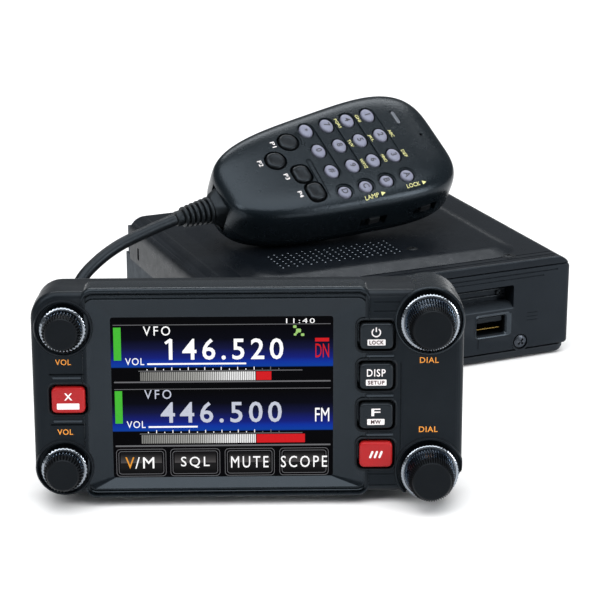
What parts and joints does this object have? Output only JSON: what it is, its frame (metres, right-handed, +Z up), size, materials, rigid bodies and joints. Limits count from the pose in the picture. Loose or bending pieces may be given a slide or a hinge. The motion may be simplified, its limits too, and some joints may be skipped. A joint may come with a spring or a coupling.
{
  "type": "mobile transceiver",
  "caption": "Dark mobile transceiver: boxy main unit, detached control head with a colour display, keys and knobs, and a keypad hand microphone with a curly cord.",
  "frame": {"origin": "centre of the main unit's base, on the surface it stands on", "axes": "+Z up; the control head stands in front and faces -Y; the main unit is turned 21.8 degrees about +Z"},
  "size_m": [0.1933, 0.2687, 0.088],
  "materials": {
    "cast_metal": "black painted die casting",
    "cover_paint": "fine textured dark grey paint",
    "dark_plastic": "fine textured charcoal",
    "black_plastic": "moulded black",
    "microphone_plastic": "fine textured black",
    "plated_metal": "bright nickel plate",
    "knob_metal": "dark knurled with bright edges",
    "dark_key": "satin black key",
    "red_key": "satin red key",
    "grey_key": "translucent pale grey key",
    "black_rubber": "matt black",
    "cord_sheath": "satin black sheath",
    "screen_glass": "glossy colour display window",
    "circuit_green": "solder mask"
  },
  "bodies": {
    "radio": {"radio_chassis": "cast_metal", "radio_top_cover": "cover_paint", "radio_bottom_cover": "cast_metal", "radio_front_panel": "dark_plastic", "microphone_socket": "black_plastic", "radio_speaker": "black_plastic", "radio_circuit_board": "circuit_green", "antenna_connector": "plated_metal", "power_cord_gland": "black_rubber", "front_panel_screw": "plated_metal"},
    "fan": {"fan_rotor": "black_plastic"},
    "control_head": {"head_bezel": "dark_plastic", "head_rear_case": "dark_plastic", "display_window": "screen_glass", "display_module": "black_plastic", "head_bracket": "cast_metal"},
    "microphone": {"mic_front_shell": "microphone_plastic", "mic_rear_shell": "microphone_plastic", "mic_hanger_stud": "plated_metal", "cord_strain_relief": "black_rubber", "mic_cord_lead": "cord_sheath", "mic_cord_coil": "cord_sheath", "mic_cord_tail": "cord_sheath", "mic_plug": "black_plastic"},
    "power_key": {"power_key": "dark_key"},
    "display_key": {"display_key": "dark_key"},
    "function_key": {"function_key": "dark_key"},
    "memory_key": {"memory_key": "red_key"},
    "network_key": {"network_key": "red_key"},
    "upper_volume_knob": {"upper_volume_knob": "knob_metal"},
    "lower_volume_knob": {"lower_volume_knob": "knob_metal"},
    "upper_dial_shaft": {"upper_dial_shaft": "plated_metal"},
    "upper_dial_knob": {"upper_dial_knob": "knob_metal"},
    "lower_dial_shaft": {"lower_dial_shaft": "plated_metal"},
    "lower_dial_knob": {"lower_dial_knob": "knob_metal"},
    "key_1": {"key_1": "grey_key"},
    "key_2": {"key_2": "grey_key"},
    "key_3": {"key_3": "grey_key"},
    "key_a": {"key_a": "grey_key"},
    "key_4": {"key_4": "grey_key"},
    "key_5": {"key_5": "grey_key"},
    "key_6": {"key_6": "grey_key"},
    "key_b": {"key_b": "grey_key"},
    "key_7": {"key_7": "grey_key"},
    "key_8": {"key_8": "grey_key"},
    "key_9": {"key_9": "grey_key"},
    "key_c": {"key_c": "grey_key"},
    "key_star": {"key_star": "grey_key"},
    "key_0": {"key_0": "grey_key"},
    "key_hash": {"key_hash": "grey_key"},
    "key_d": {"key_d": "grey_key"},
    "soft_key_1": {"soft_key_1": "black_rubber"},
    "soft_key_2": {"soft_key_2": "black_rubber"},
    "soft_key_3": {"soft_key_3": "black_rubber"},
    "soft_key_4": {"soft_key_4": "black_rubber"},
    "push_to_talk": {"push_to_talk": "black_rubber"},
    "up_key": {"up_key": "black_rubber"},
    "down_key": {"down_key": "black_rubber"},
    "lamp_switch": {"lamp_switch": "black_rubber"},
    "lock_switch": {"lock_switch": "black_rubber"}
  },
  "joints": [
    {"name": "fan_spin", "type": "hinge", "parent": "radio", "child": "fan", "pos_m": [-0.0219, 0.05468, 0.019], "axis": [-0.3719, 0.9283, 0], "continuous": true},
    {"name": "head_slide", "type": "slide", "parent": "radio", "child": "control_head", "axis": [0, -1, 0], "range_m": [0, 0.06]},
    {"name": "microphone_lift", "type": "slide", "parent": "radio", "child": "microphone", "axis": [0, 0, 1], "range_m": [0, 0.06]},
    {"name": "power_key_press", "type": "slide", "parent": "control_head", "child": "power_key", "axis": [0, 0.9978, -0.0664], "range_m": [0, 0.0008], "stiffness_N_per_m": 1200, "springref_m": -0.0004},
    {"name": "display_key_press", "type": "slide", "parent": "control_head", "child": "display_key", "axis": [0, 0.9978, -0.0664], "range_m": [0, 0.0008], "stiffness_N_per_m": 1200, "springref_m": -0.0004},
    {"name": "function_key_press", "type": "slide", "parent": "control_head", "child": "function_key", "axis": [0, 0.9978, -0.0664], "range_m": [0, 0.0008], "stiffness_N_per_m": 1200, "springref_m": -0.0004},
    {"name": "memory_key_press", "type": "slide", "parent": "control_head", "child": "memory_key", "axis": [0, 0.9978, -0.0664], "range_m": [0, 0.0008], "stiffness_N_per_m": 1200, "springref_m": -0.0004},
    {"name": "network_key_press", "type": "slide", "parent": "control_head", "child": "network_key", "axis": [0, 0.9978, -0.0664], "range_m": [0, 0.0008], "stiffness_N_per_m": 1200, "springref_m": -0.0004},
    {"name": "upper_volume_knob_turn", "type": "hinge", "parent": "control_head", "child": "upper_volume_knob", "pos_m": [-0.09479, -0.17422, 0.06043], "axis": [0, -0.9978, 0.0664], "range_deg": [-140, 140]},
    {"name": "lower_volume_knob_turn", "type": "hinge", "parent": "control_head", "child": "lower_volume_knob", "pos_m": [-0.09559, -0.17734, 0.01363], "axis": [0, -0.9978, 0.0664], "range_deg": [-140, 140]},
    {"name": "upper_dial_press", "type": "slide", "parent": "control_head", "child": "upper_dial_shaft", "axis": [0, 0.9978, -0.0664], "range_m": [0, 0.0008], "stiffness_N_per_m": 2500, "springref_m": -0.0004},
    {"name": "upper_dial_turn", "type": "hinge", "parent": "upper_dial_shaft", "child": "upper_dial_knob", "pos_m": [0.02221, -0.17412, 0.06193], "axis": [0, -0.9978, 0.0664], "continuous": true},
    {"name": "lower_dial_press", "type": "slide", "parent": "control_head", "child": "lower_dial_shaft", "axis": [0, 0.9978, -0.0664], "range_m": [0, 0.0008], "stiffness_N_per_m": 2500, "springref_m": -0.0004},
    {"name": "lower_dial_turn", "type": "hinge", "parent": "lower_dial_shaft", "child": "lower_dial_knob", "pos_m": [0.02271, -0.17748, 0.01154], "axis": [0, -0.9978, 0.0664], "continuous": true},
    {"name": "key_1_press", "type": "slide", "parent": "microphone", "child": "key_1", "axis": [-0.1871, 0.5353, -0.8237], "range_m": [0, 0.0006], "stiffness_N_per_m": 1500, "springref_m": -0.0004},
    {"name": "key_2_press", "type": "slide", "parent": "microphone", "child": "key_2", "axis": [-0.1871, 0.5353, -0.8237], "range_m": [0, 0.0006], "stiffness_N_per_m": 1500, "springref_m": -0.0004},
    {"name": "key_3_press", "type": "slide", "parent": "microphone", "child": "key_3", "axis": [-0.1871, 0.5353, -0.8237], "range_m": [0, 0.0006], "stiffness_N_per_m": 1500, "springref_m": -0.0004},
    {"name": "key_a_press", "type": "slide", "parent": "microphone", "child": "key_a", "axis": [-0.1871, 0.5353, -0.8237], "range_m": [0, 0.0006], "stiffness_N_per_m": 1500, "springref_m": -0.0004},
    {"name": "key_4_press", "type": "slide", "parent": "microphone", "child": "key_4", "axis": [-0.1871, 0.5353, -0.8237], "range_m": [0, 0.0006], "stiffness_N_per_m": 1500, "springref_m": -0.0004},
    {"name": "key_5_press", "type": "slide", "parent": "microphone", "child": "key_5", "axis": [-0.1871, 0.5353, -0.8237], "range_m": [0, 0.0006], "stiffness_N_per_m": 1500, "springref_m": -0.0004},
    {"name": "key_6_press", "type": "slide", "parent": "microphone", "child": "key_6", "axis": [-0.1871, 0.5353, -0.8237], "range_m": [0, 0.0006], "stiffness_N_per_m": 1500, "springref_m": -0.0004},
    {"name": "key_b_press", "type": "slide", "parent": "microphone", "child": "key_b", "axis": [-0.1871, 0.5353, -0.8237], "range_m": [0, 0.0006], "stiffness_N_per_m": 1500, "springref_m": -0.0004},
    {"name": "key_7_press", "type": "slide", "parent": "microphone", "child": "key_7", "axis": [-0.1871, 0.5353, -0.8237], "range_m": [0, 0.0006], "stiffness_N_per_m": 1500, "springref_m": -0.0004},
    {"name": "key_8_press", "type": "slide", "parent": "microphone", "child": "key_8", "axis": [-0.1871, 0.5353, -0.8237], "range_m": [0, 0.0006], "stiffness_N_per_m": 1500, "springref_m": -0.0004},
    {"name": "key_9_press", "type": "slide", "parent": "microphone", "child": "key_9", "axis": [-0.1871, 0.5353, -0.8237], "range_m": [0, 0.0006], "stiffness_N_per_m": 1500, "springref_m": -0.0004},
    {"name": "key_c_press", "type": "slide", "parent": "microphone", "child": "key_c", "axis": [-0.1871, 0.5353, -0.8237], "range_m": [0, 0.0006], "stiffness_N_per_m": 1500, "springref_m": -0.0004},
    {"name": "key_star_press", "type": "slide", "parent": "microphone", "child": "key_star", "axis": [-0.1871, 0.5353, -0.8237], "range_m": [0, 0.0006], "stiffness_N_per_m": 1500, "springref_m": -0.0004},
    {"name": "key_0_press", "type": "slide", "parent": "microphone", "child": "key_0", "axis": [-0.1871, 0.5353, -0.8237], "range_m": [0, 0.0006], "stiffness_N_per_m": 1500, "springref_m": -0.0004},
    {"name": "key_hash_press", "type": "slide", "parent": "microphone", "child": "key_hash", "axis": [-0.1871, 0.5353, -0.8237], "range_m": [0, 0.0006], "stiffness_N_per_m": 1500, "springref_m": -0.0004},
    {"name": "key_d_press", "type": "slide", "parent": "microphone", "child": "key_d", "axis": [-0.1871, 0.5353, -0.8237], "range_m": [0, 0.0006], "stiffness_N_per_m": 1500, "springref_m": -0.0004},
    {"name": "soft_key_1_press", "type": "slide", "parent": "microphone", "child": "soft_key_1", "axis": [-0.1871, 0.5353, -0.8237], "range_m": [0, 0.0006], "stiffness_N_per_m": 1500, "springref_m": -0.0004},
    {"name": "soft_key_2_press", "type": "slide", "parent": "microphone", "child": "soft_key_2", "axis": [-0.1871, 0.5353, -0.8237], "range_m": [0, 0.0006], "stiffness_N_per_m": 1500, "springref_m": -0.0004},
    {"name": "soft_key_3_press", "type": "slide", "parent": "microphone", "child": "soft_key_3", "axis": [-0.1871, 0.5353, -0.8237], "range_m": [0, 0.0006], "stiffness_N_per_m": 1500, "springref_m": -0.0004},
    {"name": "soft_key_4_press", "type": "slide", "parent": "microphone", "child": "soft_key_4", "axis": [-0.1871, 0.5353, -0.8237], "range_m": [0, 0.0006], "stiffness_N_per_m": 1500, "springref_m": -0.0004},
    {"name": "push_to_talk_press", "type": "slide", "parent": "microphone", "child": "push_to_talk", "axis": [0.5206, -0.657, -0.5453], "range_m": [0, 0.0012], "stiffness_N_per_m": 1500, "springref_m": -0.0006},
    {"name": "up_key_press", "type": "slide", "parent": "microphone", "child": "up_key", "axis": [-0.8791, -0.4655, -0.1028], "range_m": [0, 0.0006], "stiffness_N_per_m": 1500, "springref_m": -0.0004},
    {"name": "down_key_press", "type": "slide", "parent": "microphone", "child": "down_key", "axis": [-0.8791, -0.4655, -0.1028], "range_m": [0, 0.0006], "stiffness_N_per_m": 1500, "springref_m": -0.0004},
    {"name": "lamp_switch_slide", "type": "slide", "parent": "microphone", "child": "lamp_switch", "axis": [0.8791, 0.4655, 0.1028], "range_m": [-0.0015, 0.0015]},
    {"name": "lock_switch_slide", "type": "slide", "parent": "microphone", "child": "lock_switch", "axis": [0.8791, 0.4655, 0.1028], "range_m": [-0.0015, 0.0015]}
  ]
}
